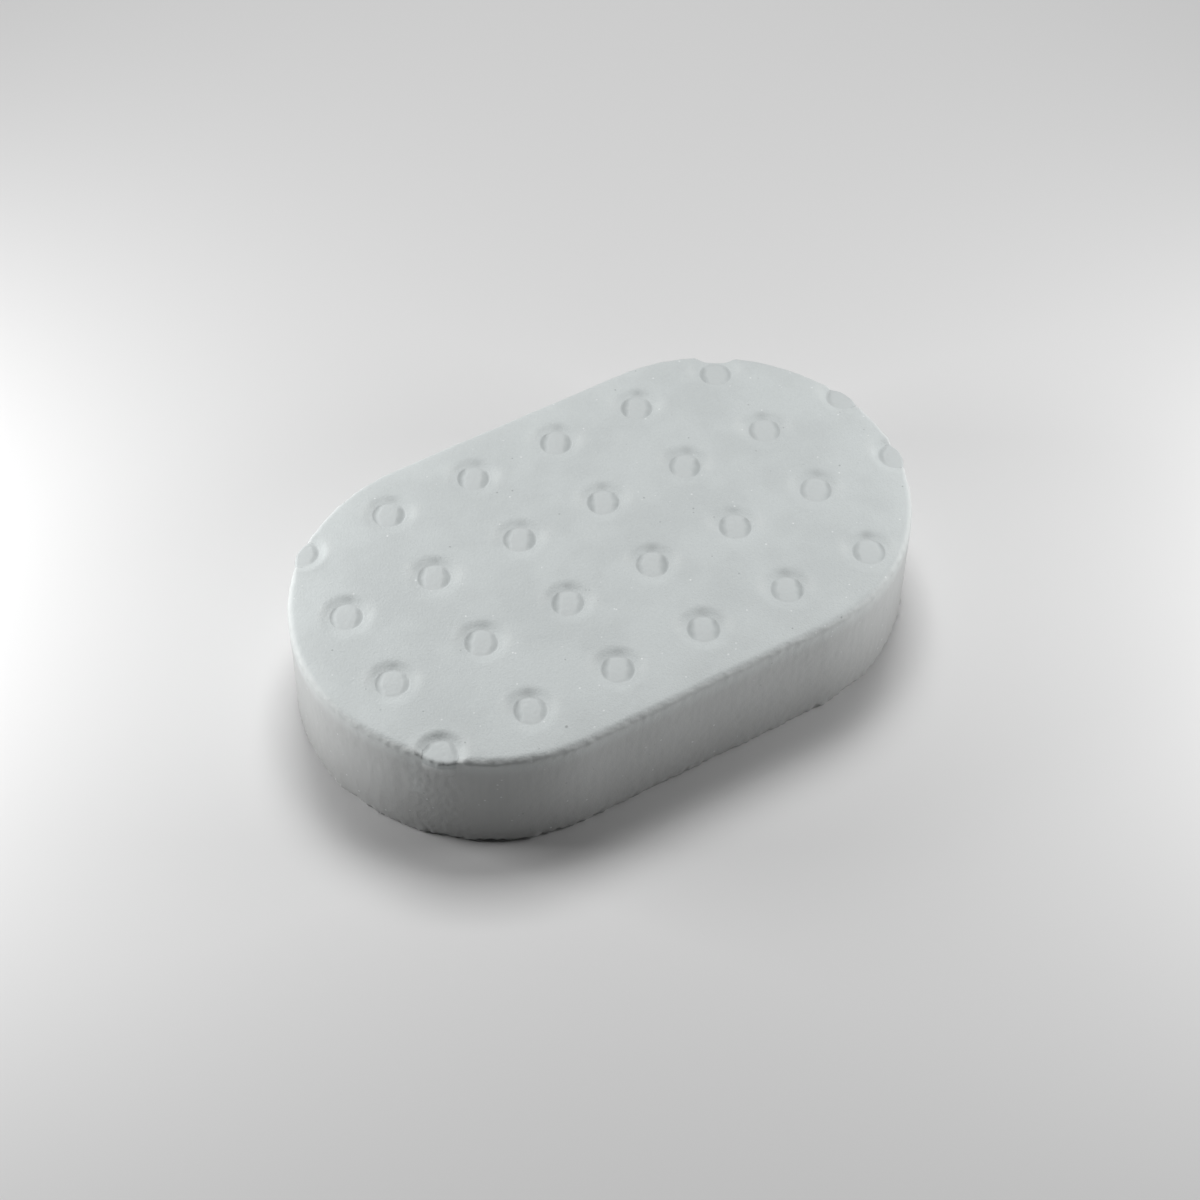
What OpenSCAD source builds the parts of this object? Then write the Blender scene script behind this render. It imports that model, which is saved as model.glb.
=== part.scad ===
// Hand buffing pad: one die-cut block of open-cell foam whose working face
// carries a square grid of heat-formed pockets. Each pocket is a soft funnel in
// the foam with a disc of fused, collapsed foam set into its bottom. The sheet
// is pocketed before it is die-cut, so the outline slices through some pockets
// and their discs.
//
// Millimetres. The origin is the centre of the flat underside, +X runs along
// the pad and +Z points out of the pocketed working face.

/* [Pad] */
// Overall length of the pad
pad_length = 108; // [90:1:125]
// Overall width, which is also the diameter of the round ends
pad_width = 65; // [60:1:80]
// Thickness from the underside to the working face
pad_thickness = 22; // [14:0.5:32]
// Rounding of the rim of the working face
rim_radius = 2; // [1:0.1:3]
// Rounding of the rim of the underside
base_radius = 0.8; // [0.4:0.1:1.5]

/* [Pocket grid] */
// Spacing of the pockets along the pad
pitch_x = 15.9; // [14:0.1:18]
// Spacing of the rows across the pad
pitch_y = 15.5; // [14:0.1:18]
// Place along the pad of the column nearest its +X end
first_column_x = 52.2; // [48:0.1:56]
// Place across the pad of the row nearest its +Y side
first_row_y = 23.6; // [20:0.1:27]

/* [Pocket shape] */
// Radius where the foam starts to draw down into a pocket
funnel_radius = 5; // [5:0.1:6.8]
// Depth of the draw-down at the edge of the fused disc
funnel_depth = 0.6; // [0.6:0.1:2]
// Radius of the fused disc at its top edge
disc_radius = 2.8; // [2:0.1:3.4]
// Thickness of the fused disc
disc_thickness = 1.1; // [0.9:0.1:2]
// How much narrower the disc's underside is than its top edge, in radius
disc_draft = 0.2; // [0:0.05:0.3]

/* [Hidden] */
$fn = 128;
end_radius = pad_width / 2;
end_centre_x = (pad_length - pad_width) / 2;
disc_top_z = pad_thickness - funnel_depth;
disc_base_z = disc_top_z - disc_thickness;
disc_base_radius = disc_radius - disc_draft;
// How far a cutting tool runs past the working face.
overcut = 1;
// Flats that make up the curve of the draw-down.
funnel_steps = 8;

// Rows are lettered from the +Y side and columns numbered from the +X end.
ROW_LETTERS = ["a", "b", "c", "d"];
COLUMNS = [1:7];

function pocket_x(column) = first_column_x - (column - 1) * pitch_x;
function pocket_y(row) = first_row_y - row * pitch_y;

// Distance of a point from the pad's long centre line, which ends at the
// centres of the two round ends.
function off_centre_line(x, y) = norm([max(abs(x) - end_centre_x, 0), y]);

// The die keeps a pocket when its centre falls inside the outline.
POCKETS = [
    for (row = [0:len(ROW_LETTERS) - 1], column = COLUMNS)
        if (off_centre_line(pocket_x(column), pocket_y(row)) < end_radius)
            [row, column]
];

function disc_name(pocket) = str("fused_disc_", ROW_LETTERS[pocket[0]], pocket[1]);

// Depth of the draw-down at radius r from the pocket's axis. It leaves the
// working face and meets the disc smoothly.
function funnel_drop(r) =
    let (t = (funnel_radius - r) / (funnel_radius - disc_radius))
        funnel_depth * t * t * (3 - 2 * t);

// Right half of the pad's cross-section: a rectangle with its two outer
// corners replaced by arcs.
module half_section() {
    difference() {
        square([end_radius, pad_thickness]);
        translate([end_radius - rim_radius, pad_thickness - rim_radius])
            square(rim_radius + overcut);
        translate([end_radius - base_radius, -overcut])
            square([base_radius + overcut, base_radius + overcut]);
    }
    translate([end_radius - rim_radius, pad_thickness - rim_radius])
        circle(rim_radius);
    translate([end_radius - base_radius, base_radius])
        circle(base_radius);
}

module round_end() {
    rotate([0, 0, -90])
        rotate_extrude(angle = 180)
            half_section();
}

module straight_middle() {
    rotate([90, 0, 90])
        linear_extrude(2 * end_centre_x, center = true) {
            half_section();
            mirror([1, 0])
                half_section();
        }
}

// The pad before it is pocketed.
module blank() {
    straight_middle();
    for (side = [0, 1])
        mirror([side, 0, 0])
            translate([end_centre_x, 0, 0])
                round_end();
}

// Everything a pocket takes out of the foam: the draw-down and the disc's seat.
module pocket_space() {
    funnel_step = (funnel_radius - disc_radius) / funnel_steps;
    rotate_extrude()
        polygon(concat(
            [
                [0, disc_base_z],
                [disc_base_radius, disc_base_z]
            ],
            [
                for (i = [0:funnel_steps])
                    let (r = disc_radius + i * funnel_step)
                        [r, pad_thickness - funnel_drop(r)]
            ],
            [
                [funnel_radius, pad_thickness + overcut],
                [0, pad_thickness + overcut]
            ]
        ));
}

// Disc of fused foam, level with the bottom of the draw-down.
module fused_disc_body() {
    rotate_extrude()
        polygon([
            [0, disc_base_z],
            [disc_base_radius, disc_base_z],
            [disc_radius, disc_top_z],
            [0, disc_top_z]
        ]);
}

module at_pocket(pocket) {
    translate([pocket_x(pocket[1]), pocket_y(pocket[0]), 0])
        children();
}

module foam_block() {
    color([0.86, 0.88, 0.88])
        difference() {
            blank();
            for (pocket = POCKETS)
                at_pocket(pocket)
                    pocket_space();
        }
}

// A disc that stands clear of the outline is whole. The die trims the others.
module fused_disc(pocket) {
    to_outline = end_radius - off_centre_line(pocket_x(pocket[1]), pocket_y(pocket[0]));
    color([0.90, 0.91, 0.90])
        if (to_outline > disc_radius)
            at_pocket(pocket)
                fused_disc_body();
        else
            intersection() {
                at_pocket(pocket)
                    fused_disc_body();
                blank();
            }
}

foam_block();
for (pocket = POCKETS)
    fused_disc(pocket);
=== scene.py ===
"""Foam hand buffing pad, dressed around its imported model.

The pad is one die-cut block of open-cell foam. Its working face carries a square
grid of heat-formed pockets, and each pocket ends in a disc of fused foam, creased
on two sides of its raised middle. The die slices through some pockets at the rim.

Lengths are in millimetres until a mesh is made, which is in metres.
"""

import json
import logging
import math
from collections.abc import Iterator, Sequence
from dataclasses import dataclass, field
from enum import Enum

import bpy
import numpy as np
from mathutils import Matrix, Vector, noise
from mathutils.geometry import delaunay_2d_cdt


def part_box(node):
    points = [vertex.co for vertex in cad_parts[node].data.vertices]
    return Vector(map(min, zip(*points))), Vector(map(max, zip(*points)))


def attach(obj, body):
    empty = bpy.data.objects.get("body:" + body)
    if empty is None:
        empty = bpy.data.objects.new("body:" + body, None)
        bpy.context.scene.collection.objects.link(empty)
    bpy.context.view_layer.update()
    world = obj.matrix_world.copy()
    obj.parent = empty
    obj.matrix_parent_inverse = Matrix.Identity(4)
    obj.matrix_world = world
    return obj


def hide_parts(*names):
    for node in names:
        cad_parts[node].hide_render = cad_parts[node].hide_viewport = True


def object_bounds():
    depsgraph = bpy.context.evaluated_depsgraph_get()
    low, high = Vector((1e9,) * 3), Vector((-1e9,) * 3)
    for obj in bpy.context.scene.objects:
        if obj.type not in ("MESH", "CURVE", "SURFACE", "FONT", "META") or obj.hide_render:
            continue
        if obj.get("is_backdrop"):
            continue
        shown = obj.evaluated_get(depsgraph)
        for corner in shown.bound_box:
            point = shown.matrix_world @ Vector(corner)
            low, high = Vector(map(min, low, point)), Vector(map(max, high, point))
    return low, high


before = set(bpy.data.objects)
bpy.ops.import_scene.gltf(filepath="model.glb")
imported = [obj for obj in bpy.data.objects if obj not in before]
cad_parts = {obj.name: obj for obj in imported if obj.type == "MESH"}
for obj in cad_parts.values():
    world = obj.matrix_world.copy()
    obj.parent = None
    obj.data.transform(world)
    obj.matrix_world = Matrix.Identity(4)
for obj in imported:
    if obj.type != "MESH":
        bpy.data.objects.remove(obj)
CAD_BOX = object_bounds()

log = logging.getLogger("pad")
MM = 0.001
Pair = tuple[float, float]
Triple = tuple[float, float, float]
Colour = Triple


class Slot(Enum):
    """The record's material slots."""

    FOAM = "open_cell_foam"
    FUSED = "fused_foam_skin"


class Attribute(Enum):
    """Values that the meshes carry for their finishes to read."""

    CUT_FACE = "cut_face"
    # Painted shade behind each disc.
    BRUISE = "bruise"
    # Painted light beside each disc, along the rim and on the upper part of the cut wall.
    HALO = "halo"
    # Height share that sets the painted shade towards the cut wall's base.
    LOW = "low"
    # Crease share, which also sets the skin's painted crease shade.
    CREASE = "crease"


class Inside(Enum):
    """What the triangulation keeps, as its own codes."""

    HULL = 0
    LOOP = 1


# ---------------------------------------------------------------- small maths


def smooth_step(value: np.ndarray, low: float, high: float) -> np.ndarray:
    """Rises smoothly from 0 at low to 1 at high.

    Args:
        value: the values to place between the two ends.
        low: where the result is 0. It may lie above high.
        high: where the result is 1.

    Returns:
        The eased share for each value.
    """
    share = np.clip((value - low) / (high - low), 0.0, 1.0)
    return share * share * (3.0 - 2.0 * share)


def even(length: float) -> Triple:
    """The same length along x, y and z."""
    return (length, length, length)


@dataclass(frozen=True)
class Ripple:
    """Smooth noise: how high it is, how long along x, y and z, and what sets its pattern apart."""

    height: float
    size: Triple
    seed: float

    def at(self, points: np.ndarray, extra: np.ndarray | float = 0.0) -> np.ndarray:
        """Height of the ripple at each point.

        Args:
            points: one row of x, y, z for each point.
            extra: what to add to the ripple's height at each point.

        Returns:
            One value for each point.
        """
        moved = points / np.asarray(self.size) + self.seed
        return (self.height + extra) * np.array([noise.noise(Vector(point)) for point in moved])


@dataclass(frozen=True)
class Unevenness:
    """The small ripples of the foam's cut wall and working face."""

    sway: Ripple = Ripple(0.12, (11.0, 11.0, 16.0), 3.7)
    blade_marks: Ripple = Ripple(0.02, (1.1, 1.1, 9.0), 8.3)
    fringe: Ripple = Ripple(0.05, even(0.9), 1.9)
    tufts: Ripple = Ripple(0.0, even(2.9), 4.4)
    waves: Ripple = Ripple(0.04, even(6.0), 5.1)
    pebbles: Ripple = Ripple(0.02, even(0.9), 6.4)
    base_edge: Pair = (1.6, 0.2)
    base_fringe: float = 0.45
    base_tufts: float = 0.35
    rim_edge: Pair = (2.2, 0.6)
    rim_tatter: float = 0.12

    def wall(self, points: np.ndarray, thickness: float) -> np.ndarray:
        """How far the cut wall stands out at each point, most of all along its two edges.

        Args:
            points: one row of x, y, z for each point.
            thickness: the pad's thickness.

        Returns:
            One distance for each point.
        """
        z = points[:, 2]
        ragged = smooth_step(z, *self.base_edge)
        tatter = self.rim_tatter * smooth_step(z, *(thickness - drop for drop in self.rim_edge))
        return (
            self.sway.at(points)
            + self.blade_marks.at(points)
            + self.fringe.at(points, self.base_fringe * ragged + tatter)
            + self.tufts.at(points, self.base_tufts * ragged + tatter)
        )

    def face(self, points: np.ndarray) -> np.ndarray:
        """How far the working face stands up at each point."""
        return self.waves.at(points) + self.pebbles.at(points)


# -------------------------------------------------------------------- the pad


@dataclass(frozen=True)
class Outline:
    """The die's shape: a straight middle and two round ends."""

    half_straight: float
    radius: float

    @property
    def length(self) -> float:
        """Distance round the outline."""
        return 4.0 * self.half_straight + 2.0 * math.pi * self.radius

    def inset(self, x: np.ndarray, y: np.ndarray) -> np.ndarray:
        """Distance of each point inside the outline."""
        return self.radius - np.hypot(self._past_middle(x), y)

    def outward(self, x: np.ndarray, y: np.ndarray) -> np.ndarray:
        """Unit direction from the centre line through each point.

        Args:
            x: where the points lie along the pad.
            y: where they lie across it.

        Returns:
            One row of x, y for each point.
        """
        across = np.stack([self._past_middle(x), y], axis=-1)
        size = np.maximum(np.linalg.norm(across, axis=-1, keepdims=True), 1e-9)
        return across / size

    def at(self, along: np.ndarray, inset: float = 0.0) -> np.ndarray:
        """Points on the outline.

        Args:
            along: distances anticlockwise from the middle of the -Y side.
            inset: how far inside the outline the points lie.

        Returns:
            One row of x, y for each distance.
        """
        straight = 2.0 * self.half_straight
        arc = math.pi * self.radius
        wrapped = (np.asarray(along) + self.half_straight) % self.length
        second = wrapped >= straight + arc
        local = np.where(second, wrapped - straight - arc, wrapped)
        turn = np.clip((local - straight) / self.radius, 0.0, math.pi)
        reach = self.radius - inset
        x = np.minimum(local, straight) - self.half_straight + reach * np.sin(turn)
        y = -reach * np.cos(turn)
        sign = np.where(second, -1.0, 1.0)
        return np.stack([x * sign, y * sign], axis=-1)

    def _past_middle(self, x: np.ndarray) -> np.ndarray:
        """How far each x lies past the end of the straight middle, with its sign."""
        return np.sign(x) * np.maximum(np.abs(x) - self.half_straight, 0.0)


@dataclass(frozen=True)
class Pocket:
    """One heat-formed pocket, with the small faults that set it apart."""

    name: str
    x: float
    y: float
    inset: float
    whole: bool
    depth: float
    oval: Pair
    three: Pair
    turn: float
    balance: float
    # Strength of the painted shade behind its disc.
    back_shading: float

    def warp(self, angle: np.ndarray) -> np.ndarray:
        """How much wider than round the pocket is in each direction.

        Args:
            angle: the directions, seen from its axis.

        Returns:
            One factor for each direction.
        """
        return (
            1.0
            + self.oval[0] * np.cos(2.0 * (angle - self.oval[1]))
            + self.three[0] * np.cos(3.0 * (angle - self.three[1]))
        )

    def radius_at(self, x: np.ndarray, y: np.ndarray) -> np.ndarray:
        """Distance from the axis, measured on the round pocket behind the faults."""
        dx, dy = x - self.x, y - self.y
        return np.hypot(dx, dy) / self.warp(np.arctan2(dy, dx))

    def ring(self, radius: float, count: int) -> np.ndarray:
        """Points round the pocket at one radius.

        Args:
            radius: distance from the axis on the round pocket.
            count: how many points.

        Returns:
            One row of x, y for each point.
        """
        angle = np.arange(count) * (2.0 * math.pi / count)
        reach = radius * self.warp(angle)
        return np.stack([self.x + reach * np.cos(angle), self.y + reach * np.sin(angle)], axis=-1)


@dataclass(frozen=True)
class PocketFaults:
    """What sets the pockets apart. Angles in degrees, and depth_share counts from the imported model's depth."""

    depth_share: float = 0.5
    depth_spread: float = 0.05
    cut_depth: float = 0.15
    oval: float = 0.015
    three: float = 0.012
    turn: float = -31.0
    turn_spread: float = 7.0
    balance_spread: float = 0.25
    # How much the painted shade behind each disc varies, and how much weaker it is at cut pockets.
    back_shading_spread: float = 0.25
    cut_back_shading: float = 0.7

    def pocket(
        self, name: str, place: Pair, inset: float, depth: float, whole: bool, draw: np.ndarray
    ) -> Pocket:
        """Makes one pocket.

        Args:
            name: its disc's node.
            place: x and y of its axis.
            inset: how far its axis lies inside the outline.
            depth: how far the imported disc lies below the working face.
            whole: whether the die missed its disc.
            draw: eight numbers between -1 and 1.

        Returns:
            The pocket.
        """
        return Pocket(
            name=name,
            x=place[0],
            y=place[1],
            inset=inset,
            whole=whole,
            depth=self.depth_share * depth + self.depth_spread * draw[0] + self.cut_depth * (not whole),
            oval=(self.oval * draw[1], math.pi * draw[2]),
            three=(self.three * draw[3], math.pi * draw[4]),
            turn=math.radians(self.turn + self.turn_spread * draw[5]),
            balance=self.balance_spread * draw[6],
            back_shading=(1.0 + self.back_shading_spread * draw[7]) * (1.0 if whole else self.cut_back_shading),
        )


@dataclass
class PadShape:
    """Every height of the pad's surface, shared by the foam and the fused discs."""

    outline: Outline
    thickness: float
    disc_radius: float
    disc_thickness: float
    pockets: list[Pocket]
    rim_radius: float = 1.2
    cut_rim_radius: float = 0.5
    pillow_depth: float = 0.5
    pillow_reach: float = 3.5
    base_radius: float = 0.8
    funnel_radius: float = 5.0
    funnel_bias: float = 1.3
    disc_draft: float = 0.2
    lip_roll_width: float = 0.25
    lip_roll_depth: float = 0.03
    crease_width: float = 1.5
    crease_depth: float = 0.22
    crease_sides: Pair = (0.35, 0.95)
    crease_skew: float = 0.7
    narrowest_crease: float = 0.3
    faint_crease: Pair = (0.2, 0.08)
    faint_sides: Pair = (0.3, 0.9)
    end_fading: float = 0.55
    cut_fading: float = 2.0
    # Painted shade behind each disc and painted light beside it, for the foam's colour.
    painted_back_shade_reach: float = 3.5
    painted_back_shade_size: Pair = (0.85, 1.0)
    painted_light_reach: float = 4.0
    painted_light_shift: float = 0.8
    painted_light_size: Pair = (1.0, 1.8)
    step_width: float = 0.2
    step_depth: float = 0.02
    dome: float = 0.12
    lean: float = 0.35
    strip_limit: float = 5.0
    strip_sag: float = 2.5
    strip_sides: Pair = (3.7, 1.0)
    bulge: float = 0.6
    bulge_half_width: float = 2.7
    bulge_start: float = -2.0
    bulge_drop: Pair = (5.0, 1.6)
    corner_lip: float = 0.12
    corner_lip_ring: Pair = (3.9, 0.7)
    unevenness: Unevenness = Unevenness()

    @classmethod
    def from_frame(cls, faults: PocketFaults, seed: int) -> "PadShape":
        """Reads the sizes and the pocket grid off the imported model.

        Args:
            faults: how much the pockets differ.
            seed: sets which pocket gets which fault.

        Returns:
            The pad's shape.
        """
        low, high = (np.array(corner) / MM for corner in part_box("foam_block"))
        outline = Outline((high[0] - low[0] - high[1] + low[1]) / 2.0, (high[1] - low[1]) / 2.0)
        disc_low, disc_high = (np.array(corner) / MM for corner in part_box("fused_disc_b3"))
        rng = np.random.default_rng(seed)
        disc_radius = (disc_high[0] - disc_low[0]) / 2.0
        pockets = []
        for name in sorted(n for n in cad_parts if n.startswith("fused_disc_")):
            x, y = cls._centre(name)
            inset = float(outline.inset(np.array(x), np.array(y)))
            draw = rng.uniform(-1.0, 1.0, 8)
            whole = inset > disc_radius
            pockets.append(faults.pocket(name, (x, y), inset, high[2] - disc_high[2], whole, draw))
        return cls(outline, high[2] - low[2], disc_radius, disc_high[2] - disc_low[2], pockets)

    @staticmethod
    def _centre(name: str) -> Pair:
        """Finds the axis of a pocket from whole discs in its row and column.

        Args:
            name: its disc's node.

        Returns:
            The x and y of the axis.
        """
        row, column = name[-2], int(name[-1])

        def middle(node: str) -> np.ndarray:
            low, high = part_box(node)
            return np.array((low + high) / 2.0) / MM

        second, third = middle("fused_disc_b2")[0], middle("fused_disc_b3")[0]
        x = second + (2 - column) * (second - third)
        return float(x), float(middle(f"fused_disc_{row}3")[1])

    # Each of these is a depth below the flat working face.

    def funnel(self, pocket: Pocket, x: np.ndarray, y: np.ndarray) -> np.ndarray:
        """Depth that the foam is drawn down round one pocket, and under its disc.

        Args:
            pocket: the pocket.
            x: where the points lie along the pad.
            y: where they lie across it.

        Returns:
            One depth for each point.
        """
        radius = pocket.radius_at(x, y)
        share = np.clip((self.funnel_radius - radius) / (self.funnel_radius - self.disc_radius), 0.0, 1.0)
        drawn = pocket.depth * smooth_step(share**self.funnel_bias, 0.0, 1.0)
        tilt = np.minimum(radius / self.disc_radius, 1.0) * np.sin(self._turn(pocket, x, y))
        leaning = 1.0 + self.lean * tilt
        roll = np.clip((self.disc_radius + self.lip_roll_width - radius) / self.lip_roll_width, 0.0, 1.0)
        ring, width = self.corner_lip_ring
        lip = 0.0 if pocket.whole else self.corner_lip * np.exp(-(((radius - ring) / width) ** 2))
        return drawn * leaning + self.lip_roll_depth * roll**2 + self._sag(pocket, x, y) - lip

    def _sag(self, pocket: Pocket, x: np.ndarray, y: np.ndarray) -> np.ndarray:
        """Extra depth of the thin strip of foam between a pocket and a rim that runs close past it.

        Args:
            pocket: the pocket.
            x: where the points lie along the pad.
            y: where they lie across it.

        Returns:
            One depth for each point.
        """
        if not pocket.whole or pocket.inset > self.strip_limit:
            return np.zeros(np.shape(x))
        out = self.outline.outward(np.array(pocket.x), np.array(pocket.y))
        beyond = (x - pocket.x) * out[0] + (y - pocket.y) * out[1]
        aside = np.abs((y - pocket.y) * out[0] - (x - pocket.x) * out[1])
        across = smooth_step(aside, *self.strip_sides)
        return self.strip_sag * across * smooth_step(beyond, self.disc_radius, pocket.inset)

    def _bulged(self, x: np.ndarray, y: np.ndarray, z: np.ndarray) -> np.ndarray:
        """How far the pressed foam of the cut pockets stands out past the outline.

        Args:
            x: where the points lie along the pad.
            y: where they lie across it.
            z: how high they lie.

        Returns:
            One distance for each point.
        """
        total = np.zeros(np.shape(x))
        high = smooth_step(z, *(self.thickness - drop for drop in self.bulge_drop))
        for pocket in self.pockets:
            if not pocket.whole:
                out = self.outline.outward(np.array(pocket.x), np.array(pocket.y))
                beyond = (x - pocket.x) * out[0] + (y - pocket.y) * out[1]
                aside = ((y - pocket.y) * out[0] - (x - pocket.x) * out[1]) / self.bulge_half_width
                near = np.clip(1.0 - aside**2, 0.0, 1.0) * smooth_step(beyond, self.bulge_start, pocket.inset)
                total = total + near * high
        return self.bulge * total

    def seat(self, pocket: Pocket, x: np.ndarray, y: np.ndarray) -> np.ndarray:
        """Extra depth under the fused disc."""
        radius = pocket.radius_at(x, y)
        return self.disc_thickness * np.clip((self.disc_radius - radius) / self.disc_draft, 0.0, 1.0)

    def disc_face(self, pocket: Pocket, x: np.ndarray, y: np.ndarray) -> np.ndarray:
        """Depth of a disc's own top face below the lip, negative where it is raised.

        Args:
            pocket: the pocket.
            x: where the points lie along the pad.
            y: where they lie across it.

        Returns:
            One depth for each point.
        """
        radius = pocket.radius_at(x, y)
        inside = np.clip((self.disc_radius - radius) / self.step_width, 0.0, 1.0)
        middle = np.clip(radius / self.disc_radius, 0.0, 1.0)
        sunk = self.step_depth * smooth_step(inside, 0.0, 1.0) - self.dome * (1.0 - middle**2)
        return sunk + self.crease_depth * self.crease(pocket, x, y)

    # These three run from 0 to about 1 and keep nearly the same turn on every pocket. The crease is the forming
    # tool's; the other two are painted shade behind a disc and painted light beside it.

    def crease(self, pocket: Pocket, x: np.ndarray, y: np.ndarray) -> np.ndarray:
        """How far into a disc's crease each point lies: deep on two sides, faint between, none at the cut.

        Args:
            pocket: the pocket.
            x: where the points lie along the pad.
            y: where they lie across it.

        Returns:
            One share for each point.
        """
        turn = self._turn(pocket, x, y)
        sides = smooth_step(np.abs(np.cos(turn)), *self.crease_sides)
        outer = self.outline.half_straight + self.outline.radius
        fading = 1.0 - self.end_fading * (pocket.x / outer) ** 2
        sides = sides * (1.0 + pocket.balance * np.sign(np.cos(turn))) * fading
        between = np.where(np.sin(turn) > 0.0, *self.faint_crease)
        between = between * smooth_step(np.abs(np.sin(turn)), *self.faint_sides)
        strength = np.maximum(sides, between) * smooth_step(self.outline.inset(x, y), 0.0, self.cut_fading)
        width = self.crease_width * (self.narrowest_crease + (1.0 - self.narrowest_crease) * strength)
        share = np.clip((self.disc_radius - pocket.radius_at(x, y)) / width, 0.0, 1.0)
        return strength * np.sin(math.pi * share**self.crease_skew)

    def bruise(self, pocket: Pocket, x: np.ndarray, y: np.ndarray) -> np.ndarray:
        """How strongly shade is painted on the foam just behind a disc.

        Args:
            pocket: the pocket.
            x: where the points lie along the pad.
            y: where they lie across it.

        Returns:
            One share for each point.
        """
        radius, turn = pocket.radius_at(x, y), self._turn(pocket, x, y)
        along = (radius * np.sin(turn) - self.painted_back_shade_reach) / self.painted_back_shade_size[0]
        across = radius * np.cos(turn) / self.painted_back_shade_size[1]
        return pocket.back_shading * np.exp(-(along**2) - across**2)

    def halo(self, pocket: Pocket, x: np.ndarray, y: np.ndarray) -> np.ndarray:
        """How strongly light is painted on the foam on both sides of a disc.

        Args:
            pocket: the pocket.
            x: where the points lie along the pad.
            y: where they lie across it.

        Returns:
            One share for each point.
        """
        radius, turn = pocket.radius_at(x, y), self._turn(pocket, x, y)
        away = (radius * np.abs(np.cos(turn)) - self.painted_light_reach) / self.painted_light_size[0]
        along = (radius * np.sin(turn) - self.painted_light_shift) / self.painted_light_size[1]
        return np.exp(-(away**2) - along**2)

    def _turn(self, pocket: Pocket, x: np.ndarray, y: np.ndarray) -> np.ndarray:
        """Angle round a pocket, counted from the middle of one of its deep creases."""
        return np.arctan2(y - pocket.y, x - pocket.x) - pocket.turn

    def rim(self, x: np.ndarray, y: np.ndarray) -> np.ndarray:
        """Depth that the rounded rim falls away, which is tighter where the die cut a disc.

        Args:
            x: where the points lie along the pad.
            y: where they lie across it.

        Returns:
            One depth for each point.
        """
        radius = np.full(np.shape(x), self.rim_radius)
        widening = self.rim_radius - self.cut_rim_radius
        for pocket in self.pockets:
            if not pocket.whole:
                away = smooth_step(pocket.radius_at(x, y), self.disc_radius, 2.0 * self.disc_radius)
                radius = np.minimum(radius, self.cut_rim_radius + widening * away)
        short = np.clip(radius - self.outline.inset(x, y), 0.0, radius)
        return radius - np.sqrt(np.maximum(radius**2 - short**2, 0.0))

    def lie(self, x: np.ndarray, y: np.ndarray) -> np.ndarray:
        """Height of the surface with the pockets drawn in, before seats and creases.

        Args:
            x: where the points lie along the pad.
            y: where they lie across it.

        Returns:
            One height for each point.
        """
        inset = np.maximum(self.outline.inset(x, y), 0.0)
        depth = self.rim(x, y) + self.pillow_depth * np.exp(-inset / self.pillow_reach)
        for pocket in self.pockets:
            depth = depth + self.funnel(pocket, x, y)
        return self.thickness - depth

    def relief(self, points: np.ndarray) -> np.ndarray:
        """Moves surface points by the foam's small unevenness.

        Args:
            points: one row of x, y, z for each point.

        Returns:
            The moved points.
        """
        x, y, z = points.T
        sideways = np.clip(1.0 - self.outline.inset(x, y) / self.rim_radius, 0.0, 1.0)
        upright = np.sqrt(1.0 - sideways**2) * (z > self.thickness / 2.0)
        out = sideways * self.unevenness.wall(points, self.thickness) + self._bulged(x, y, z)
        up = upright * self.unevenness.face(points)
        shift = np.concatenate([self.outline.outward(x, y) * out[:, None], up[:, None]], axis=1)
        return points + shift


# --------------------------------------------------------------------- meshes


class MeshParts:
    """Vertices and faces gathered into one mesh."""

    def __init__(self) -> None:
        """Starts empty."""
        self.points: list[np.ndarray] = []
        self.faces: list[Sequence[int]] = []
        self.count = 0

    def add(self, points: np.ndarray) -> np.ndarray:
        """Adds vertices.

        Args:
            points: one row of x, y, z for each vertex, in millimetres.

        Returns:
            The new vertices' numbers.
        """
        self.points.append(points)
        first, self.count = self.count, self.count + len(points)
        return np.arange(first, self.count)

    def strip(self, upper: np.ndarray, lower: np.ndarray) -> None:
        """Joins two closed rings of vertices with quads that face outwards."""
        for here, there in zip(range(len(upper)), [*range(1, len(upper)), 0]):
            self.faces.append((int(lower[here]), int(lower[there]), int(upper[there]), int(upper[here])))

    def patch(self, numbers: np.ndarray, triangles: Sequence[Sequence[int]], up: bool) -> None:
        """Adds triangles between vertices that are already in.

        Args:
            numbers: the vertices' numbers in the mesh.
            triangles: corners of each triangle, anticlockwise seen from above.
            up: whether the patch faces up.
        """
        for triangle in triangles:
            corners = tuple(int(numbers[corner]) for corner in triangle)
            self.faces.append(corners if up else corners[::-1])

    def piece(self, name: str, values: dict[Attribute, np.ndarray], sharp_degrees: float) -> bpy.types.Object:
        """Makes the object.

        Args:
            name: the piece's name.
            values: one value per vertex for each attribute.
            sharp_degrees: edges that turn more than this stay crisp.

        Returns:
            The object, in metres.
        """
        mesh = bpy.data.meshes.new(name)
        mesh.from_pydata((np.concatenate(self.points) * MM).tolist(), [], self.faces)
        for attribute, numbers in values.items():
            layer = mesh.attributes.new(attribute.value, "FLOAT", "POINT")
            layer.data.foreach_set("value", numbers.astype(np.float32))
        mesh.polygons.foreach_set("use_smooth", [True] * len(mesh.polygons))
        mesh.set_sharp_from_angle(angle=math.radians(sharp_degrees))
        mesh.validate()
        mesh.update()
        made = bpy.data.objects.new(name, mesh)
        bpy.context.scene.collection.objects.link(made)
        return made


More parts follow.
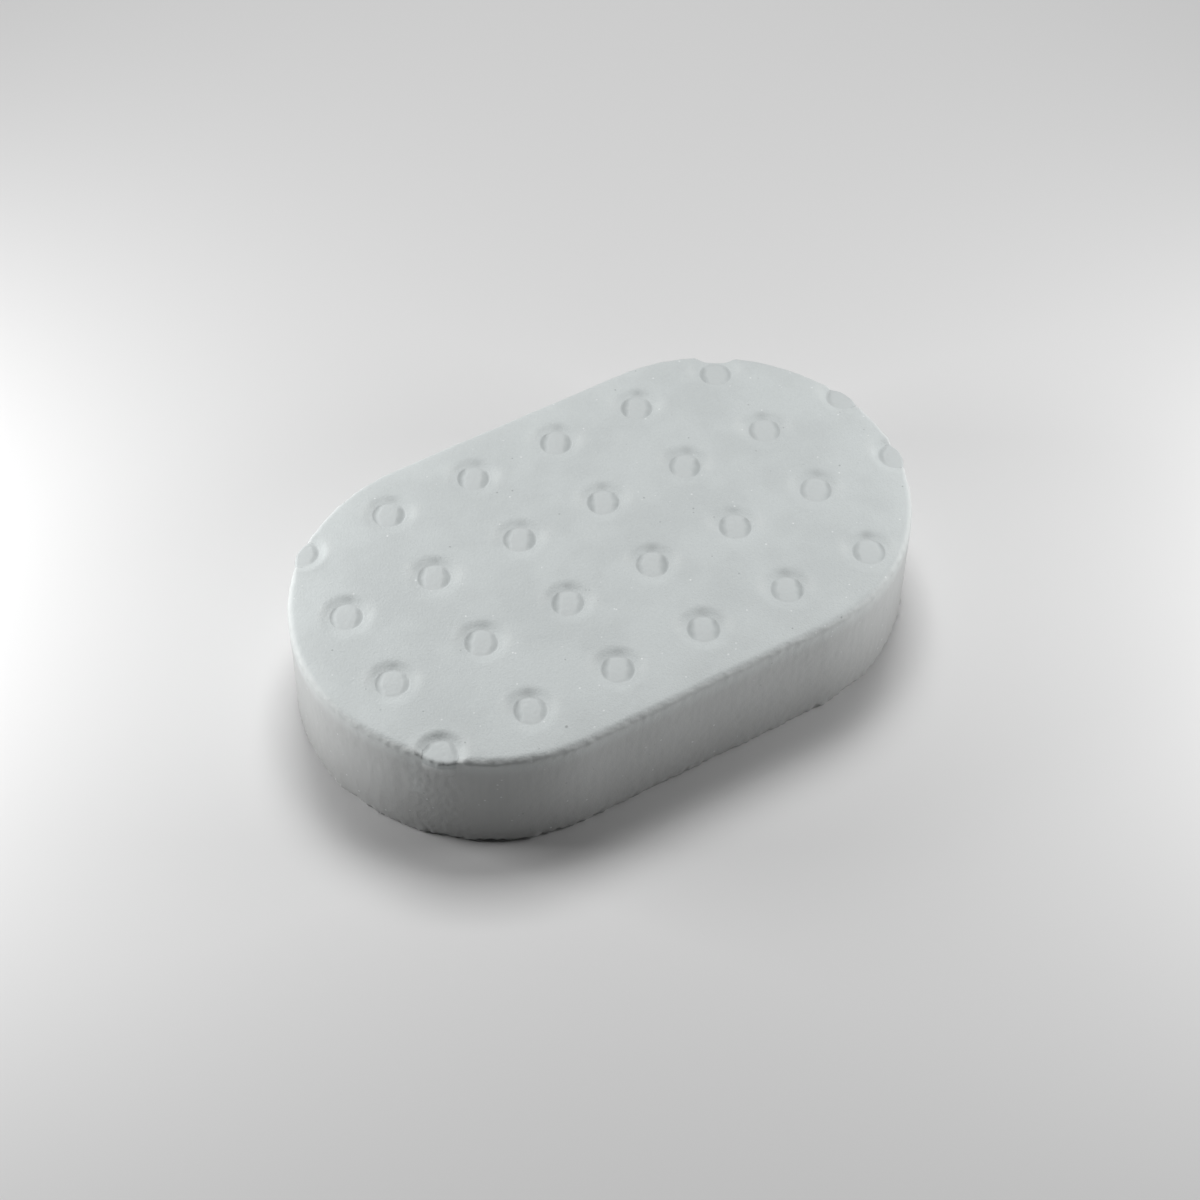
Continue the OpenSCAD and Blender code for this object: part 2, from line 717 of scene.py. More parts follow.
def triangulate(
    points: np.ndarray, loops: Sequence[np.ndarray], keep: Inside
) -> tuple[np.ndarray, list[Sequence[int]]]:
    """Fills flat points with triangles that keep to the loops.

    Args:
        points: one row of x, y for each point.
        loops: closed rings of point numbers whose edges have to stay.
        keep: whether to fill all of it or only the inside of the loops.

    Returns:
        The flat points as they came back, and the triangles' corners, anticlockwise.
    """
    edges = [(int(a), int(b)) for loop in loops for a, b in zip(loop, np.roll(loop, -1))]
    found = delaunay_2d_cdt([Vector(p) for p in points], edges, [], keep.value, 1e-6, True)
    flat = np.array([tuple(p) for p in found[0]])
    return flat, [tuple(f) for f in found[2]]


@dataclass
class FoamBlock:
    """The die-cut foam block, pockets and all."""

    shape: PadShape
    perimeter_step: float = 0.42
    fine_step: float = 0.17
    fine_reach: Pair = (6.0, 3.5)
    probe_step: float = 0.05
    wall_rows: int = 42
    rim_rings: int = 9
    base_rings: int = 5
    pocket_rings: int = 11
    pocket_ring_skew: float = 1.3
    pocket_points: int = 56
    edge_clearance: float = 0.04
    land_step: float = 0.55
    land_margin: float = 0.4
    land_shake: float = 0.12
    land_seed: int = 4
    underside_step: float = 1.6
    underside_margin: float = 0.6
    sharp_degrees: float = 50.0
    cut_inset: Pair = (0.9, 0.1)
    cut_drop: float = 1.0
    # Painted light on the face near the rim, and on the upper part of the cut wall.
    painted_rim_light: float = 0.5
    painted_rim_light_reach: float = 4.0
    painted_rim_light_drop: Pair = (6.0, 1.0)
    painted_wall_light: float = 1.5
    painted_wall_light_drop: Pair = (4.5, 1.6)
    painted_wall_light_inset: Pair = (0.9, 0.2)
    name: str = "foam_pad"
    parts: MeshParts = field(default_factory=MeshParts)

    def build(self) -> bpy.types.Object:
        """Builds the closed block.

        Returns:
            The object.
        """
        along = self._perimeter()
        flat, triangles, edge = self._top_plan(along)
        top = self.parts.add(self._top_points(flat))
        self.parts.patch(top, triangles, up=True)
        last = self._wall(along, top[edge])
        self._underside(last)
        points = self.shape.relief(np.concatenate(self.parts.points))
        self.parts.points = [points]
        return self.parts.piece(self.name, self._values(points), self.sharp_degrees)

    def _perimeter(self) -> np.ndarray:
        """Places along the outline, closer together where the die cut a pocket.

        Returns:
            Their distances along the outline, in order.
        """
        outline = self.shape.outline
        probe = np.arange(0.0, outline.length, self.probe_step)
        spots = outline.at(probe)
        density = np.full(len(probe), 1.0 / self.perimeter_step)
        for pocket in self.shape.pockets:
            near = smooth_step(pocket.radius_at(*spots.T), *self.fine_reach)
            density = np.maximum(density, near / self.fine_step) if not pocket.whole else density
        grown = np.concatenate([[0.0], np.cumsum(density) * self.probe_step])
        count = int(round(grown[-1]))
        return np.interp(np.arange(count) * grown[-1] / count, grown, np.append(probe, outline.length))

    def _top_plan(self, along: np.ndarray) -> tuple[np.ndarray, list[Sequence[int]], np.ndarray]:
        """Lays out the working face seen from above.

        Args:
            along: places along the outline.

        Returns:
            The flat points, the triangles, and the numbers of the points on the outline.
        """
        shape, outline = self.shape, self.shape.outline
        turns = np.linspace(0.5 * math.pi, 0.0, self.rim_rings)
        rings = [outline.at(along, shape.rim_radius * (1.0 - math.sin(turn))) for turn in turns]
        loops = [np.arange(len(along)) + i * len(along) for i in range(self.rim_rings)]
        inner = [p for pocket in shape.pockets for p in self._pocket_plan(pocket)]
        flat = np.concatenate([*rings, *inner, self._land()])
        flat, triangles = triangulate(flat, loops, Inside.HULL)
        return flat, triangles, np.arange(len(along))

    def _pocket_plan(self, pocket: Pocket) -> Iterator[np.ndarray]:
        """Rings of points that follow one pocket, where they lie inside the outline.

        Args:
            pocket: the pocket.

        Yields:
            One row of x, y for each point of a ring.
        """
        shape = self.shape
        steps = np.linspace(0.0, 1.0, self.pocket_rings + 1) ** self.pocket_ring_skew
        radii = [
            *(shape.disc_radius + (shape.funnel_radius - shape.disc_radius) * steps),
            shape.disc_radius + 0.5 * shape.lip_roll_width,
            shape.disc_radius - shape.disc_draft,
            0.5 * shape.disc_radius,
        ]
        for radius in radii:
            ring = pocket.ring(radius, self.pocket_points)
            yield ring[shape.outline.inset(*ring.T) > self.edge_clearance]

    def _land(self) -> np.ndarray:
        """Points on the flat foam between the pockets, in a slightly shaken triangular grid.

        Returns:
            One row of x, y for each point.
        """
        shape, step = self.shape, self.land_step
        half = (shape.outline.half_straight + shape.outline.radius, shape.outline.radius)
        rows = np.arange(-half[1], half[1], step * math.sqrt(0.75))
        columns = np.arange(-half[0], half[0], step)
        grid = np.array([(x + 0.5 * step * (i % 2), y) for i, y in enumerate(rows) for x in columns])
        rng = np.random.default_rng(self.land_seed)
        grid += rng.uniform(-self.land_shake, self.land_shake, grid.shape) * step
        keep = shape.outline.inset(*grid.T) > shape.rim_radius + self.land_margin * step
        for pocket in shape.pockets:
            keep &= pocket.radius_at(*grid.T) > shape.funnel_radius + self.land_margin * step
        return grid[keep]

    def _top_points(self, flat: np.ndarray) -> np.ndarray:
        """Lifts the flat points to the working face.

        Args:
            flat: one row of x, y for each point.

        Returns:
            One row of x, y, z for each point.
        """
        height = self.shape.lie(*flat.T)
        for pocket in self.shape.pockets:
            height = height - self.shape.seat(pocket, *flat.T)
        return np.column_stack([flat, height])

    def _wall(self, along: np.ndarray, edge: np.ndarray) -> np.ndarray:
        """Builds the cut side from the working face's edge to the underside.

        Args:
            along: places along the outline.
            edge: numbers of the vertices at the working face's edge.

        Returns:
            The numbers of the underside's outer ring.
        """
        shape = self.shape
        top_height = np.concatenate(self.parts.points)[edge, 2]
        place = shape.outline.at(along)
        upper = edge
        for row in range(1, self.wall_rows + 1):
            share = row / self.wall_rows
            height = top_height + (shape.base_radius - top_height) * share
            lower = self.parts.add(np.column_stack([place, height]))
            self.parts.strip(upper, lower)
            upper = lower
        for turn in np.linspace(0.0, 0.5 * math.pi, self.base_rings + 1)[1:]:
            ring = shape.outline.at(along, shape.base_radius * (1.0 - math.cos(turn)))
            height = np.full(len(ring), shape.base_radius * (1.0 - math.sin(turn)))
            lower = self.parts.add(np.column_stack([ring, height]))
            self.parts.strip(upper, lower)
            upper = lower
        return upper

    def _underside(self, ring: np.ndarray) -> None:
        """Closes the flat underside.

        Args:
            ring: the numbers of its outer ring of vertices.
        """
        outline, step = self.shape.outline, self.underside_step
        border = np.concatenate(self.parts.points)[ring, :2]
        half_length = outline.half_straight + outline.radius
        columns = np.arange(-half_length, half_length, step)
        rows = np.arange(-outline.radius, outline.radius, step)
        grid = np.array([(x, y) for y in rows for x in columns])
        grid = grid[outline.inset(*grid.T) > self.shape.base_radius + self.underside_margin * step]
        _, triangles = triangulate(np.concatenate([border, grid]), [np.arange(len(ring))], Inside.HULL)
        inner = self.parts.add(np.column_stack([grid, np.zeros(len(grid))]))
        self.parts.patch(np.concatenate([ring, inner]), triangles, up=False)

    def _values(self, points: np.ndarray) -> dict[Attribute, np.ndarray]:
        """What the foam's finish reads at each vertex.

        Args:
            points: one row of x, y, z for each vertex.

        Returns:
            One value per vertex for each attribute.
        """
        shape = self.shape
        x, y, z = points.T
        inset, drop = shape.outline.inset(x, y), shape.thickness - z
        face = z > shape.thickness / 2.0
        # Painted light on the face near the rim, and on the upper part of the cut wall.
        edge = self.painted_rim_light * np.exp(-np.maximum(inset, 0.0) / self.painted_rim_light_reach)
        edge *= smooth_step(drop, *self.painted_rim_light_drop)
        wall = self.painted_wall_light * smooth_step(drop, *self.painted_wall_light_drop)
        wall *= smooth_step(inset, *self.painted_wall_light_inset)
        return {
            Attribute.CUT_FACE: smooth_step(inset, *self.cut_inset) * smooth_step(drop, 0.0, self.cut_drop),
            # Painted shade behind each disc.
            Attribute.BRUISE: face * sum(shape.bruise(pocket, x, y) for pocket in shape.pockets),
            # Painted light: near the rim, on the upper wall and on both sides of each disc.
            Attribute.HALO: wall + edge + face * sum(shape.halo(pocket, x, y) for pocket in shape.pockets),
            # Height share for the painted shade towards the cut wall's base.
            Attribute.LOW: 1.0 - z / shape.thickness,
        }


@dataclass
class FusedDisc:
    """The disc of fused foam at the bottom of one pocket."""

    shape: PadShape
    pocket: Pocket
    points_round: int = 56
    crease_rings: int = 10
    middle_rings: int = 5
    side_rings: Triple = (0.15, 0.4, 0.7)
    side_dullness: float = 0.1
    edge_clearance: float = 0.05
    probe_step: float = 0.02
    cut_step: float = 0.2
    fewest_cuts: int = 4
    sharp_degrees: float = 60.0
    parts: MeshParts = field(default_factory=MeshParts)

    def build(self) -> bpy.types.Object:
        """Builds the closed disc, cut where the outline cuts it.

        Returns:
            The object.
        """
        shape, pocket = self.shape, self.pocket
        flat, triangles, border = self._plan()
        top = shape.relief(np.column_stack([flat, shape.lie(*flat.T) - shape.disc_face(pocket, *flat.T)]))
        taper = (shape.disc_radius - shape.disc_draft) / shape.disc_radius
        centre = np.array([pocket.x, pocket.y])
        cut = shape.outline.inset(*flat.T)[:, None] < self.edge_clearance
        foot = np.where(cut, flat, centre + (flat - centre) * taper)
        under = shape.relief(np.column_stack([foot, shape.lie(*flat.T) - shape.disc_thickness]))
        upper, lower = self.parts.add(top), self.parts.add(under)
        self.parts.patch(upper, triangles, up=True)
        self.parts.patch(lower, triangles, up=False)
        above = upper[border]
        for share in self.side_rings:
            between = self.parts.add(top[border] + (under[border] - top[border]) * share)
            self.parts.strip(above, between)
            above = between
        self.parts.strip(above, lower[border])
        # The crease share sets the skin's painted crease shade; the disc's sides take a little of that darker
        # tone.
        sides = np.full(self.parts.count - len(flat), self.side_dullness)
        values = {Attribute.CREASE: np.concatenate([shape.crease(pocket, *flat.T), sides])}
        return self.parts.piece(pocket.name + "_skin", values, self.sharp_degrees)

    def _plan(self) -> tuple[np.ndarray, list[Sequence[int]], np.ndarray]:
        """Lays out the disc seen from above.

        Returns:
            The flat points, the triangles, and the border's point numbers, anticlockwise.
        """
        shape, pocket, outline = self.shape, self.pocket, self.shape.outline
        border = pocket.ring(shape.disc_radius, self.points_round)
        inset = outline.inset(*border.T)
        if inset.min() < 0.0:
            border = self._trimmed(border, inset)
        inner = shape.disc_radius - shape.crease_width
        radii = [
            *np.linspace(shape.disc_radius, inner, self.crease_rings + 1)[1:],
            *np.linspace(inner, 0.0, self.middle_rings + 1)[1:-1],
        ]
        rings = [pocket.ring(radius, self.points_round) for radius in radii]
        points = np.concatenate([*rings, [[pocket.x, pocket.y]]])
        points = points[outline.inset(*points.T) > self.edge_clearance]
        flat, triangles = triangulate(np.concatenate([border, points]), [np.arange(len(border))], Inside.LOOP)
        return flat, triangles, np.arange(len(border))

    def _trimmed(self, border: np.ndarray, inset: np.ndarray) -> np.ndarray:
        """Swaps the part of the border outside the outline for the outline itself.

        Args:
            border: one row of x, y for each point, anticlockwise.
            inset: how far inside the outline each of them lies.

        Returns:
            The trimmed border, anticlockwise.
        """
        outline, count = self.shape.outline, len(border)
        start = next(i for i in range(count) if inset[i] < 0.0 <= inset[i - 1])
        order = [(start + i) % count for i in range(count)]
        kept = border[[i for i in order if inset[i] >= 0.0]]
        last, first = kept[-1], kept[0]
        probe = np.arange(0.0, outline.length, self.probe_step)
        spots = outline.at(probe)
        leave = probe[np.argmin(np.hypot(*(spots - last).T))]
        arrive = probe[np.argmin(np.hypot(*(spots - first).T))]
        span = (arrive - leave + 0.5 * outline.length) % outline.length - 0.5 * outline.length
        steps = max(self.fewest_cuts, int(abs(span) / self.cut_step))
        edge = outline.at(leave + span * np.linspace(0.0, 1.0, steps + 1))
        return np.concatenate([kept, edge])


# ------------------------------------------------------------------- finishes


class Nodes:
    """Adds nodes to one material."""

    def __init__(self, name: str) -> None:
        """Makes an empty material.

        Args:
            name: the material's name.
        """
        self.material = bpy.data.materials.new(name)
        self.material.use_nodes = True
        self.material.node_tree.nodes.clear()

    def make(
        self,
        kind: str,
        settings: dict[str, object] | None = None,
        inputs: dict[str | int, object] | None = None,
    ) -> bpy.types.Node:
        """Adds any node.

        Args:
            kind: the node's type.
            settings: its own properties, which are set first.
            inputs: a number, colour or link for each named or numbered socket.

        Returns:
            The node.
        """
        node = self.material.node_tree.nodes.new(kind)
        for key, value in (settings or {}).items():
            setattr(node, key, value)
        for key, value in (inputs or {}).items():
            if isinstance(value, Flow):
                self.material.node_tree.links.new(value.socket, node.inputs[key])
            else:
                node.inputs[key].default_value = value
        return node

    def flow(
        self,
        kind: str,
        settings: dict[str, object] | None = None,
        inputs: dict[str | int, object] | None = None,
        output: str | int = 0,
    ) -> "Flow":
        """Adds a node and returns what flows out of one of its sockets."""
        return Flow(self, self.make(kind, settings, inputs).outputs[output])

    def attribute(self, attribute: Attribute) -> "Flow":
        """A value that the mesh carries."""
        return self.flow("ShaderNodeAttribute", {"attribute_name": attribute.value}, output="Fac")

    def place(self, size: Triple = (1.0, 1.0, 1.0)) -> "Flow":
        """The point on the object in millimetres, divided by a size along each axis.

        Args:
            size: what to divide by along x, y and z.

        Returns:
            The divided point.
        """
        spot = self.flow("ShaderNodeTexCoord", output="Object")
        scale = tuple(1.0 / (MM * length) for length in size)
        return self.flow("ShaderNodeVectorMath", {"operation": "MULTIPLY"}, {0: spot, 1: scale})

    def cloud(self, size: Triple, detail: float = 2.0, roughness: float = 0.5) -> "Flow":
        """Soft noise from 0 to 1 whose blotches have that size in millimetres."""
        inputs = {"Vector": self.place(size), "Scale": 1.0, "Detail": detail, "Roughness": roughness}
        return self.flow("ShaderNodeTexNoise", {}, inputs, "Fac")

    def cells(self, size: float, feature: str = "F1") -> "Flow":
        """Distance from the middles of a cell pattern of that size in millimetres."""
        inputs = {"Vector": self.place(even(size)), "Scale": 1.0}
        return self.flow("ShaderNodeTexVoronoi", {"feature": feature}, inputs, "Distance")

    def blend(self, share: "Flow | float", first: object, second: object) -> "Flow":
        """A colour between two others."""
        settings = {"data_type": "RGBA", "blend_type": "MIX"}
        return self.flow("ShaderNodeMix", settings, {0: share, 6: first, 7: second}, 2)

    def bump(self, height: "Flow", depth: float) -> "Flow":
        """A normal from a height whose full range is that many millimetres."""
        inputs = {"Height": height, "Distance": depth * MM, "Strength": 1.0}
        return self.flow("ShaderNodeBump", {}, inputs, "Normal")

    def finish(self, inputs: dict[str | int, object]) -> bpy.types.Material:
        """Ends the material in a Principled shader.

        Args:
            inputs: a number, colour or link for each of the shader's sockets.

        Returns:
            The material.
        """
        shader = self.make("ShaderNodeBsdfPrincipled", {}, inputs)
        output = self.make("ShaderNodeOutputMaterial")
        self.material.node_tree.links.new(shader.outputs[0], output.inputs[0])
        return self.material


class Flow:
    """A value, colour or vector on its way through a material, for use in sums."""

    def __init__(self, nodes: Nodes, socket: bpy.types.NodeSocket) -> None:
        """Wraps an output socket."""
        self.nodes = nodes
        self.socket = socket

    def _math(self, operation: str, first: object, second: object) -> "Flow":
        """Adds one Math node."""
        return self.nodes.flow("ShaderNodeMath", {"operation": operation}, {0: first, 1: second})

    def __add__(self, other: object) -> "Flow":
        """This plus other."""
        return self._math("ADD", self, other)

    def __radd__(self, other: object) -> "Flow":
        """Other plus this."""
        return self._math("ADD", other, self)

    def __rsub__(self, other: object) -> "Flow":
        """Other minus this."""
        return self._math("SUBTRACT", other, self)

    def __mul__(self, other: object) -> "Flow":
        """This times other."""
        return self._math("MULTIPLY", self, other)

    def __rmul__(self, other: object) -> "Flow":
        """Other times this."""
        return self._math("MULTIPLY", other, self)

    def ease(self, low: float, high: float) -> "Flow":
        """Rises smoothly from 0 at low to 1 at high, or falls if low is above high.

        Args:
            low: where the result is 0.
            high: where the result is 1.

        Returns:
            The eased value.
        """
        start, end = (low, high) if low < high else (high, low)
        settings = {"interpolation_type": "SMOOTHSTEP"}
        inputs = {"Value": self, "From Min": start, "From Max": end}
        eased = self.nodes.flow("ShaderNodeMapRange", settings, inputs)
        return eased if low < high else 1.0 - eased


def opaque(colour: Colour) -> tuple[float, float, float, float]:
    """A colour as a colour socket takes it."""
    return (*colour, 1.0)


@dataclass(frozen=True)
class FoamFinish:
    """Fine open-cell foam: dead matt, with cells, a stain and painted glints, painted shade towards the wall's
    base, in pores and behind each disc, and painted light beside each disc and along the rim.
    """

    pale: Colour = (0.60, 0.635, 0.635)
    shaded: Colour = (0.52, 0.55, 0.55)
    cut: Colour = (0.565, 0.57, 0.565)
    # Painted shade towards the cut wall's base.
    base_shade_tone: Colour = (0.30, 0.30, 0.295)
    # Darker tone for the cut wall's streaks and for the painted shade behind each disc.
    streak_and_back_shade_tone: Colour = (0.40, 0.425, 0.425)
    # Painted light.
    painted_light_tone: Colour = (0.68, 0.71, 0.705)
    # Painted glints.
    painted_glint: Colour = (0.86, 0.88, 0.88)
    # Dark tone for the stain and for the painted shade in pores.
    stain_and_pore_shade: Colour = (0.30, 0.32, 0.32)
    cell_size: float = 0.34
    grain_size: float = 0.5
    grain_edge: Pair = (0.3, 0.7)
    grain_roughness: float = 0.7
    mottle_size: float = 9.0
    mottle_edge: Pair = (0.35, 0.65)
    detail: float = 3.0
    streak_size: Triple = (0.9, 0.9, 14.0)
    streak_edge: Pair = (0.4, 0.7)
    graininess: float = 0.3
    mottling: float = 0.45
    cut_share: float = 0.75
    # Strength and reach of the painted shade towards the cut wall's base.
    base_shading: float = 0.52
    base_shade_reach: Pair = (0.1, 1.1)
    streaking: float = 0.12
    stain: Triple = (-24.1, -28.5, 22.0)
    stain_edge: Pair = (0.36, 0.2)
    stain_share: float = 0.85
    # Strength of the painted shade behind each disc.
    back_shading: float = 0.5
    # Strength of the painted light.
    light_painting: float = 0.4
    # Painted glints: dot spacing, edge and patch size.
    painted_glint_spacing: float = 1.7
    painted_glint_edge: Pair = (0.13, 0.07)
    painted_glint_patch: float = 3.0
    # Dots of painted shade where pores are.
    pore_spacing: float = 2.3
    pore_edge: Pair = (0.10, 0.05)
    pore_patch: float = 4.0
    dot_patch_edge: Pair = (0.5, 0.6)
    dot_share: float = 0.6
    cut_smoothness: float = 0.6
    cell_height: float = 0.6
    grain_height: float = 0.4
    bump_depth: float = 0.06
    roughness: float = 0.97
    shine: float = 0.15
    fuzz: float = 0.12
    fuzz_roughness: float = 0.6

    def material(self) -> bpy.types.Material:
        """Builds the material.

        Returns:
            The material.
        """
        nodes = Nodes(Slot.FOAM.value)
        cut = nodes.attribute(Attribute.CUT_FACE)
        mottle = nodes.cloud(even(self.mottle_size), self.detail)
        grain = nodes.cloud(even(self.grain_size), self.detail, self.grain_roughness)
        streak = nodes.cloud(self.streak_size)
        shade = self.mottling * mottle.ease(*self.mottle_edge) + self.graininess * grain.ease(*self.grain_edge)
        # Height share for the painted shade towards the cut wall's base.
        low = nodes.attribute(Attribute.LOW).ease(*self.base_shade_reach)
        measure = {"operation": "DISTANCE"}
        offset = nodes.flow("ShaderNodeVectorMath", measure, {0: nodes.place(), 1: self.stain}, "Value")
        colour = nodes.blend(shade, opaque(self.pale), opaque(self.shaded))
        layers = (
            (self.cut_share * cut, self.cut),
            # Painted shade towards the cut wall's base.
            (self.base_shading * low * cut, self.base_shade_tone),
            (self.streaking * streak.ease(*self.streak_edge) * cut, self.streak_and_back_shade_tone),
            (self.stain_share * offset.ease(*self.stain_edge), self.stain_and_pore_shade),
            # Painted shade behind each disc.
            (self.back_shading * nodes.attribute(Attribute.BRUISE), self.streak_and_back_shade_tone),
            # Painted light beside each disc, near the rim and on the upper wall.
            (self.light_painting * nodes.attribute(Attribute.HALO), self.painted_light_tone),
            # Painted glints.
            (self._dots(nodes, self.painted_glint_spacing, self.painted_glint_edge, self.painted_glint_patch), self.painted_glint),
            # Painted shade in pores.
            (self._dots(nodes, self.pore_spacing, self.pore_edge, self.pore_patch), self.stain_and_pore_shade),
        )
        for share, layer in layers:
            colour = nodes.blend(share, colour, opaque(layer))
        height = self.cell_height * nodes.cells(self.cell_size) + self.grain_height * grain
        height = height * (1.0 - self.cut_smoothness * cut)
        return nodes.finish(
            {
                "Base Color": colour,
                "Roughness": self.roughness,
                "Specular IOR Level": self.shine,
                "Sheen Weight": self.fuzz,
                "Sheen Roughness": self.fuzz_roughness,
                "Normal": nodes.bump(height, self.bump_depth),
            }
        )

    def _dots(self, nodes: Nodes, spacing: float, edge: Pair, patch: float) -> "Flow":
        """Share of a colour that shows only in small dots, which gather in patches."""
        patches = nodes.cloud(even(patch)).ease(*self.dot_patch_edge)
        return nodes.cells(spacing).ease(*edge) * patches * self.dot_share


@dataclass(frozen=True)
class FusedFinish:
    """Foam melted into a skin: smoother and tighter, with painted shade in the crease."""

    pale: Colour = (0.57, 0.60, 0.60)
    # Darker tone for the skin's grain and its painted crease shade.
    dark_grain_and_crease_shade: Colour = (0.40, 0.43, 0.43)
    grain_size: float = 0.6
    grain_detail: float = 3.0
    grain_roughness: float = 0.6
    wrinkle_size: float = 0.8
    # Strength of the painted crease shade.
    crease_shading: float = 0.55
    graininess: float = 0.15
    grain_height: float = 0.5
    wrinkle_height: float = 0.6
    bump_depth: float = 0.08
    roughness: float = 0.62
    roughening: float = 0.2
    shine: float = 0.3

    def material(self) -> bpy.types.Material:
        """Builds the material.

        Returns:
            The material.
        """
        nodes = Nodes(Slot.FUSED.value)
        grain = nodes.cloud(even(self.grain_size), self.grain_detail, self.grain_roughness)
        wrinkle = nodes.cells(self.wrinkle_size, "SMOOTH_F1")
        # Painted crease shade plus darker grain.
        grain_and_crease_shade = self.crease_shading * nodes.attribute(Attribute.CREASE) + self.graininess * grain
        height = self.grain_height * grain + self.wrinkle_height * wrinkle
        return nodes.finish(
            {
                "Base Color": nodes.blend(grain_and_crease_shade, opaque(self.pale), opaque(self.dark_grain_and_crease_shade)),
                "Roughness": self.roughness + self.roughening * grain,
                "Specular IOR Level": self.shine,
                "Normal": nodes.bump(height, self.bump_depth),
            }
        )


@dataclass(frozen=True)
class FloorFinish:
    """Plain pale studio floor."""

    colour: Colour = (0.68, 0.68, 0.68)
    roughness: float = 0.9

    def material(self) -> bpy.types.Material:
        """Builds the material."""
        inputs = {"Base Color": opaque(self.colour), "Roughness": self.roughness}
        return Nodes("studio_floor").finish(inputs)


# --------------------------------------------------------------------- studio


@dataclass(frozen=True)
class Viewpoint:
    """The camera, placed from the pad's base centre. Angles in degrees, lengths in millimetres.

    The clipping distances are in metres.
    """

    azimuth: float = -31.55
    elevation: float = 50.91
    roll: float = 0.83
    distance: float = 446.56
    across: float = -0.66
    upward: float = 4.75
    lens: float = 79.02
    sensor: float = 36.0
    clipping: Pair = (0.01, 10.0)

    def place(self) -> None:
        """Makes the camera and sets it as the scene's."""
        azimuth, elevation, roll = (math.radians(a) for a in (self.azimuth, self.elevation, self.roll))
        back = Vector(
            (
                math.sin(azimuth) * math.cos(elevation),
                -math.cos(azimuth) * math.cos(elevation),
                math.sin(elevation),
            )
        )
        level = (-back).cross(Vector((0.0, 0.0, 1.0))).normalized()
        up = level.cross(-back)
        right = level * math.cos(roll) + up * math.sin(roll)
        top = up * math.cos(roll) - level * math.sin(roll)
        camera = bpy.data.cameras.new("camera")
        camera.lens = self.lens
        camera.sensor_width = self.sensor
        camera.clip_start, camera.clip_end = self.clipping
        holder = bpy.data.objects.new("camera", camera)
        spot = (back * self.distance + right * self.across + top * self.upward) * MM
        holder.matrix_world = Matrix.Translation(spot) @ Matrix((right, top, back)).transposed().to_4x4()
        bpy.context.scene.collection.objects.link(holder)
        bpy.context.scene.camera = holder


@dataclass(frozen=True)
class SoftBox:
    """A square studio light that faces the pad. Lengths in millimetres."""

    name: str
    azimuth: float
    elevation: float
    distance: float
    size: float
    power: float

    def place(self, target: Vector) -> None:
        """Hangs the light so that it faces the pad.

        Args:
            target: the point that it faces, in metres.
        """
        azimuth, elevation = math.radians(self.azimuth), math.radians(self.elevation)
        away = Vector(
            (
                math.cos(azimuth) * math.cos(elevation),
                math.sin(azimuth) * math.cos(elevation),
                math.sin(elevation),
            )
        )
        light = bpy.data.lights.new(self.name, "AREA")
        light.shape = "SQUARE"
        light.size = self.size * MM
        light.energy = self.power
        holder = bpy.data.objects.new(self.name, light)
        holder.location = target + away * self.distance * MM
        holder.rotation_mode = "QUATERNION"
        holder.rotation_quaternion = (-away).to_track_quat("-Z", "Y")
        bpy.context.scene.collection.objects.link(holder)


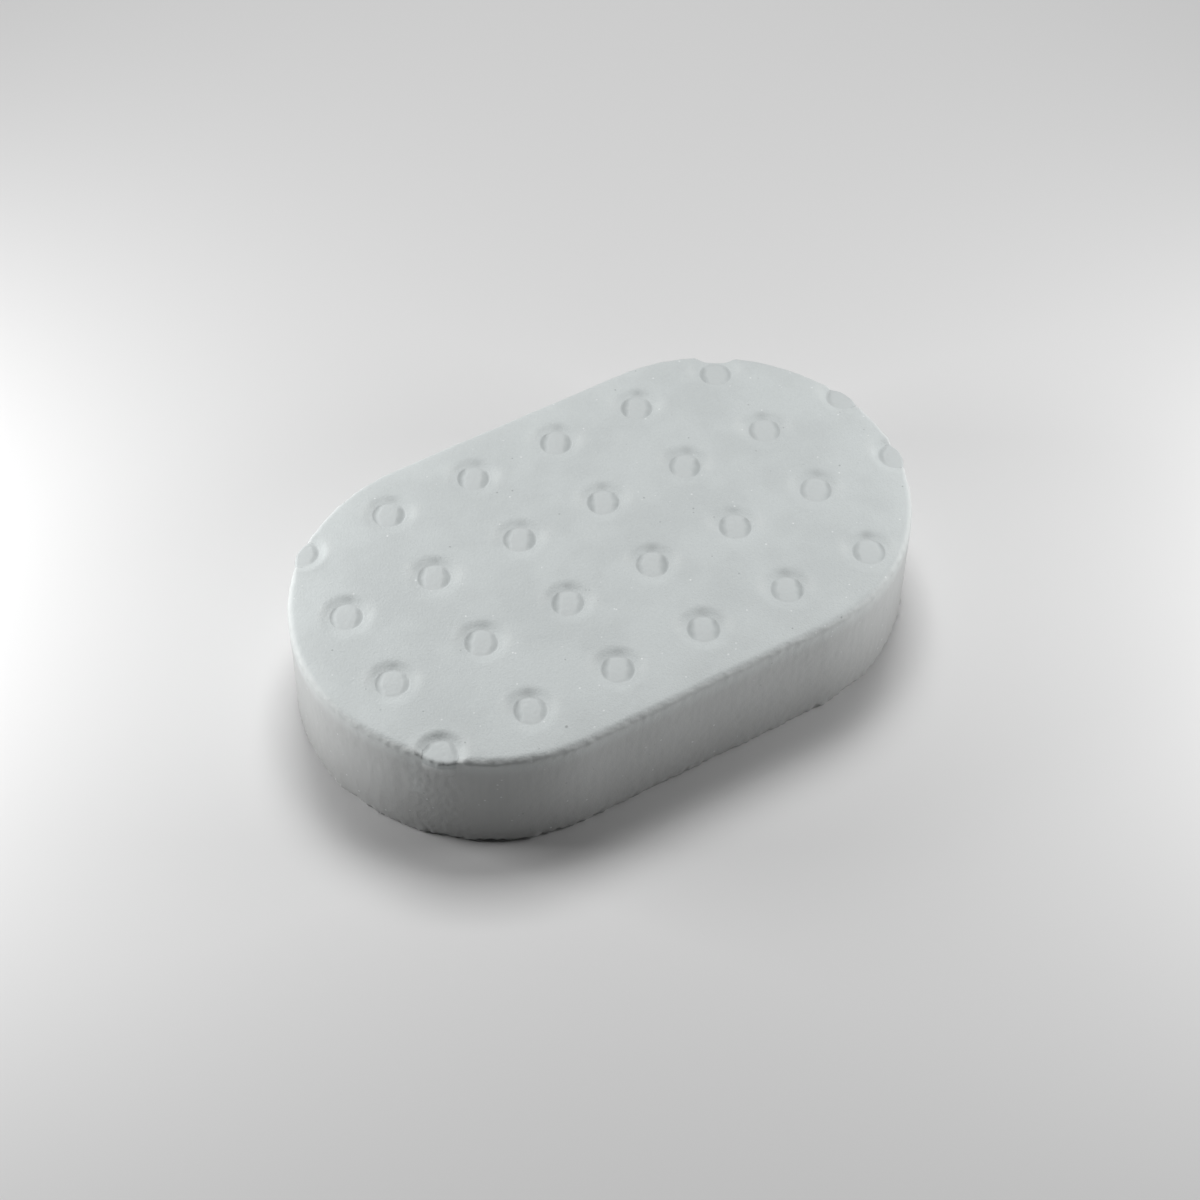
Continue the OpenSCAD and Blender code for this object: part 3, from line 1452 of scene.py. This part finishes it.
@dataclass
class Studio:
    """Floor, lights and camera."""

    viewpoint: Viewpoint = Viewpoint()
    softboxes: tuple[SoftBox, ...] = (
        SoftBox("left_softbox", 149.0, 19.0, 210.0, 80.0, 0.26),
        SoftBox("right_softbox", -31.0, 19.0, 210.0, 80.0, 0.18),
        SoftBox("overhead_softbox", 59.0, 66.0, 700.0, 300.0, 3.5),
    )
    sky: float = 0.02
    floor_size: float = 6000.0

    def build(self) -> None:
        """Sets the studio up round the pad."""
        scene = bpy.context.scene
        scene.view_settings.view_transform = "Standard"
        low, high = CAD_BOX
        target = (low + high) / 2.0
        for softbox in self.softboxes:
            softbox.place(target)
        world = bpy.data.worlds.new("studio")
        world.use_nodes = True
        world.node_tree.nodes["Background"].inputs["Color"].default_value = (1.0, 1.0, 1.0, 1.0)
        world.node_tree.nodes["Background"].inputs["Strength"].default_value = self.sky
        scene.world = world
        self._floor(low.z)
        self.viewpoint.place()

    def _floor(self, height: float) -> None:
        """Lays a large square floor.

        Args:
            height: its height in metres.
        """
        half = 0.5 * self.floor_size * MM
        mesh = bpy.data.meshes.new("floor")
        corners = [(-half, -half, height), (half, -half, height), (half, half, height), (-half, half, height)]
        mesh.from_pydata(corners, [], [(0, 1, 2, 3)])
        mesh.materials.append(FloorFinish().material())
        floor = bpy.data.objects.new("floor", mesh)
        bpy.context.scene.collection.objects.link(floor)
        floor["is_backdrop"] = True


# ------------------------------------------------------------------- assembly


@dataclass
class HandPad:
    """The whole pad: the foam block and a fused disc in every pocket."""

    shape: PadShape
    foam_finish: FoamFinish = FoamFinish()
    fused_finish: FusedFinish = FusedFinish()

    def build(self) -> None:
        """Builds, dresses and declares every piece."""
        foam = FoamBlock(self.shape).build()
        self._declare(foam, "foam_block", Slot.FOAM, self.foam_finish.material())
        fused = self.fused_finish.material()
        for pocket in self.shape.pockets:
            self._declare(FusedDisc(self.shape, pocket).build(), pocket.name, Slot.FUSED, fused)

    @staticmethod
    def _declare(piece: bpy.types.Object, node: str, slot: Slot, material: bpy.types.Material) -> None:
        """Gives a piece its finish and says which CAD node it stands for.

        Args:
            piece: the piece's object.
            node: the CAD node that it stands for.
            slot: the node's material slot, which is not used.
            material: the piece's finish.
        """
        piece.data.materials.append(material)
        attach(piece, "root")
        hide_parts(node)
        log.info("%s stands for %s: %d faces", piece.name, node, len(piece.data.polygons))


def write_sizes() -> None:
    """Turns the CAD model's box and the visual model's box into JSON text, and keeps neither."""
    for low, high in (CAD_BOX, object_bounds()):
        json.dumps([list(low), list(high)])


def main() -> None:
    """Builds the studio and the pad."""
    logging.basicConfig(level=logging.INFO, format="%(name)s: %(message)s")
    Studio().build()
    HandPad(PadShape.from_frame(PocketFaults(), seed=11)).build()
    write_sizes()


if __name__ == "__main__":
    main()
